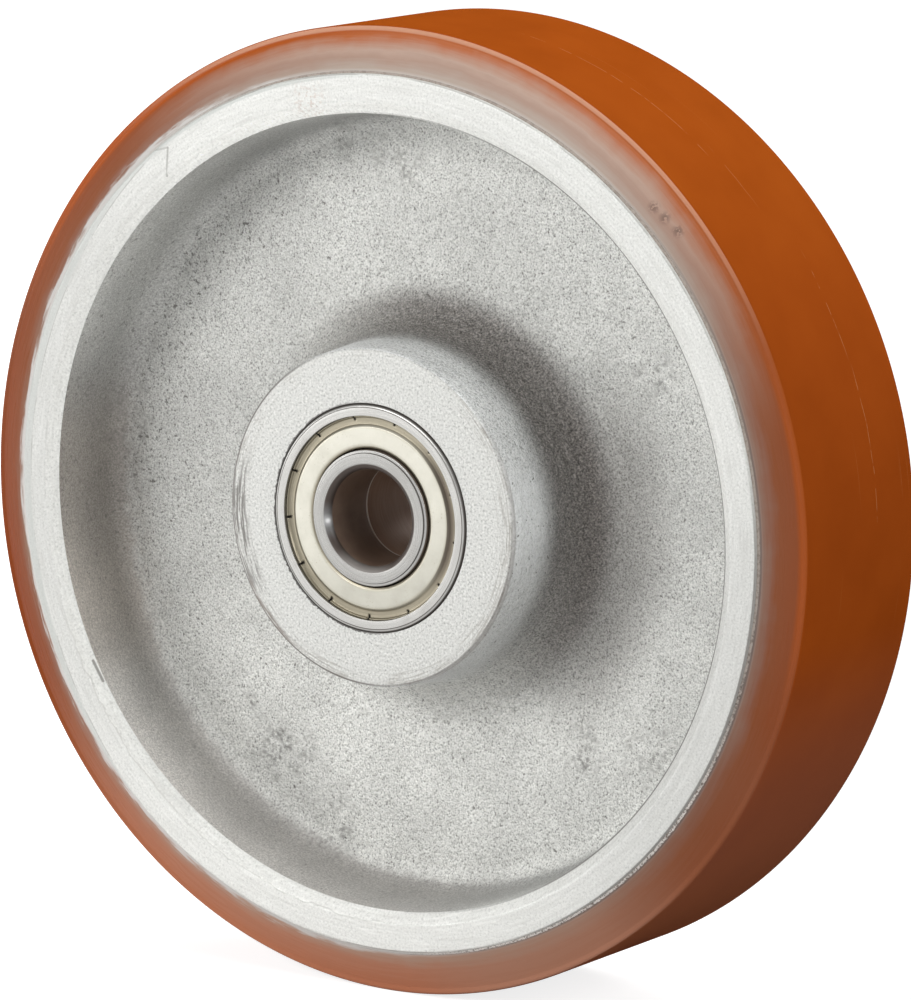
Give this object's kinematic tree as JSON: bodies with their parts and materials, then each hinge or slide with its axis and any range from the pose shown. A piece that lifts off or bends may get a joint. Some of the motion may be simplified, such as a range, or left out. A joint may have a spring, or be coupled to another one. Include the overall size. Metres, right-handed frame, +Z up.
{
  "type": "polyurethane tread wheel",
  "caption": "Heavy-duty castor wheel: smooth amber polyurethane tread on a silver cast-iron centre with a recessed web, running on shielded ball bearings with a plain axle bore.",
  "frame": {"origin": "centre of the wheel, on the spin axis, half way between its two sides", "axes": "+Y along the spin axis towards the rear side, +Z up, the front side faces -Y"},
  "size_m": [0.2, 0.055, 0.2],
  "materials": {
    "polyurethane": "glossy cast",
    "silver_casting": "silver paint",
    "bearing_steel": "ground",
    "shield_steel": "pressed",
    "cage_steel": "pressed",
    "ball_steel": "polished",
    "spacer_steel": "turned"
  },
  "bodies": {
    "inner_sleeve": {"front_inner_ring": "bearing_steel", "rear_inner_ring": "bearing_steel", "spacer_tube": "spacer_steel"},
    "wheel": {"tread": "polyurethane", "wheel_centre": "silver_casting", "front_outer_ring": "bearing_steel", "front_face_shield": "shield_steel", "front_back_shield": "shield_steel", "rear_outer_ring": "bearing_steel", "rear_face_shield": "shield_steel", "rear_back_shield": "shield_steel"},
    "front_cage": {"front_cage_face_half": "cage_steel", "front_cage_back_half": "cage_steel", "front_cage_rivets": "cage_steel"},
    "front_ball_1": {"front_ball_1": "ball_steel"},
    "front_ball_2": {"front_ball_2": "ball_steel"},
    "front_ball_3": {"front_ball_3": "ball_steel"},
    "front_ball_4": {"front_ball_4": "ball_steel"},
    "front_ball_5": {"front_ball_5": "ball_steel"},
    "front_ball_6": {"front_ball_6": "ball_steel"},
    "front_ball_7": {"front_ball_7": "ball_steel"},
    "front_ball_8": {"front_ball_8": "ball_steel"},
    "rear_cage": {"rear_cage_face_half": "cage_steel", "rear_cage_back_half": "cage_steel", "rear_cage_rivets": "cage_steel"},
    "rear_ball_1": {"rear_ball_1": "ball_steel"},
    "rear_ball_2": {"rear_ball_2": "ball_steel"},
    "rear_ball_3": {"rear_ball_3": "ball_steel"},
    "rear_ball_4": {"rear_ball_4": "ball_steel"},
    "rear_ball_5": {"rear_ball_5": "ball_steel"},
    "rear_ball_6": {"rear_ball_6": "ball_steel"},
    "rear_ball_7": {"rear_ball_7": "ball_steel"},
    "rear_ball_8": {"rear_ball_8": "ball_steel"}
  },
  "joints": [
    {"name": "wheel_spin", "type": "hinge", "parent": "inner_sleeve", "child": "wheel", "pos_m": [0, 0, 0], "axis": [0, 1, 0], "continuous": true},
    {"name": "front_cage_spin", "type": "hinge", "parent": "inner_sleeve", "child": "front_cage", "pos_m": [0, 0, 0], "axis": [0, 1, 0], "continuous": true},
    {"name": "front_ball_1_roll", "type": "hinge", "parent": "front_cage", "child": "front_ball_1", "pos_m": [0, -0.0205, 0.01675], "axis": [0, 1, 0], "continuous": true},
    {"name": "front_ball_2_roll", "type": "hinge", "parent": "front_cage", "child": "front_ball_2", "pos_m": [-0.01184, -0.0205, 0.01184], "axis": [0, 1, 0], "continuous": true},
    {"name": "front_ball_3_roll", "type": "hinge", "parent": "front_cage", "child": "front_ball_3", "pos_m": [-0.01675, -0.0205, 0], "axis": [0, 1, 0], "continuous": true},
    {"name": "front_ball_4_roll", "type": "hinge", "parent": "front_cage", "child": "front_ball_4", "pos_m": [-0.01184, -0.0205, -0.01184], "axis": [0, 1, 0], "continuous": true},
    {"name": "front_ball_5_roll", "type": "hinge", "parent": "front_cage", "child": "front_ball_5", "pos_m": [0, -0.0205, -0.01675], "axis": [0, 1, 0], "continuous": true},
    {"name": "front_ball_6_roll", "type": "hinge", "parent": "front_cage", "child": "front_ball_6", "pos_m": [0.01184, -0.0205, -0.01184], "axis": [0, 1, 0], "continuous": true},
    {"name": "front_ball_7_roll", "type": "hinge", "parent": "front_cage", "child": "front_ball_7", "pos_m": [0.01675, -0.0205, 0], "axis": [0, 1, 0], "continuous": true},
    {"name": "front_ball_8_roll", "type": "hinge", "parent": "front_cage", "child": "front_ball_8", "pos_m": [0.01184, -0.0205, 0.01184], "axis": [0, 1, 0], "continuous": true},
    {"name": "rear_cage_spin", "type": "hinge", "parent": "inner_sleeve", "child": "rear_cage", "pos_m": [0, 0, 0], "axis": [0, 1, 0], "continuous": true},
    {"name": "rear_ball_1_roll", "type": "hinge", "parent": "rear_cage", "child": "rear_ball_1", "pos_m": [0, 0.0205, 0.01675], "axis": [0, 1, 0], "continuous": true},
    {"name": "rear_ball_2_roll", "type": "hinge", "parent": "rear_cage", "child": "rear_ball_2", "pos_m": [0.01184, 0.0205, 0.01184], "axis": [0, 1, 0], "continuous": true},
    {"name": "rear_ball_3_roll", "type": "hinge", "parent": "rear_cage", "child": "rear_ball_3", "pos_m": [0.01675, 0.0205, 0], "axis": [0, 1, 0], "continuous": true},
    {"name": "rear_ball_4_roll", "type": "hinge", "parent": "rear_cage", "child": "rear_ball_4", "pos_m": [0.01184, 0.0205, -0.01184], "axis": [0, 1, 0], "continuous": true},
    {"name": "rear_ball_5_roll", "type": "hinge", "parent": "rear_cage", "child": "rear_ball_5", "pos_m": [0, 0.0205, -0.01675], "axis": [0, 1, 0], "continuous": true},
    {"name": "rear_ball_6_roll", "type": "hinge", "parent": "rear_cage", "child": "rear_ball_6", "pos_m": [-0.01184, 0.0205, -0.01184], "axis": [0, 1, 0], "continuous": true},
    {"name": "rear_ball_7_roll", "type": "hinge", "parent": "rear_cage", "child": "rear_ball_7", "pos_m": [-0.01675, 0.0205, 0], "axis": [0, 1, 0], "continuous": true},
    {"name": "rear_ball_8_roll", "type": "hinge", "parent": "rear_cage", "child": "rear_ball_8", "pos_m": [-0.01184, 0.0205, 0.01184], "axis": [0, 1, 0], "continuous": true}
  ],
  "couplings": [
    {"joint": "front_cage_spin", "follows": "wheel_spin", "ratio": 0.61848},
    {"joint": "front_ball_1_roll", "follows": "wheel_spin", "ratio": 1.9916},
    {"joint": "front_ball_2_roll", "follows": "wheel_spin", "ratio": 1.9916},
    {"joint": "front_ball_3_roll", "follows": "wheel_spin", "ratio": 1.9916},
    {"joint": "front_ball_4_roll", "follows": "wheel_spin", "ratio": 1.9916},
    {"joint": "front_ball_5_roll", "follows": "wheel_spin", "ratio": 1.9916},
    {"joint": "front_ball_6_roll", "follows": "wheel_spin", "ratio": 1.9916},
    {"joint": "front_ball_7_roll", "follows": "wheel_spin", "ratio": 1.9916},
    {"joint": "front_ball_8_roll", "follows": "wheel_spin", "ratio": 1.9916},
    {"joint": "rear_cage_spin", "follows": "wheel_spin", "ratio": 0.61848},
    {"joint": "rear_ball_1_roll", "follows": "wheel_spin", "ratio": 1.9916},
    {"joint": "rear_ball_2_roll", "follows": "wheel_spin", "ratio": 1.9916},
    {"joint": "rear_ball_3_roll", "follows": "wheel_spin", "ratio": 1.9916},
    {"joint": "rear_ball_4_roll", "follows": "wheel_spin", "ratio": 1.9916},
    {"joint": "rear_ball_5_roll", "follows": "wheel_spin", "ratio": 1.9916},
    {"joint": "rear_ball_6_roll", "follows": "wheel_spin", "ratio": 1.9916},
    {"joint": "rear_ball_7_roll", "follows": "wheel_spin", "ratio": 1.9916},
    {"joint": "rear_ball_8_roll", "follows": "wheel_spin", "ratio": 1.9916}
  ]
}
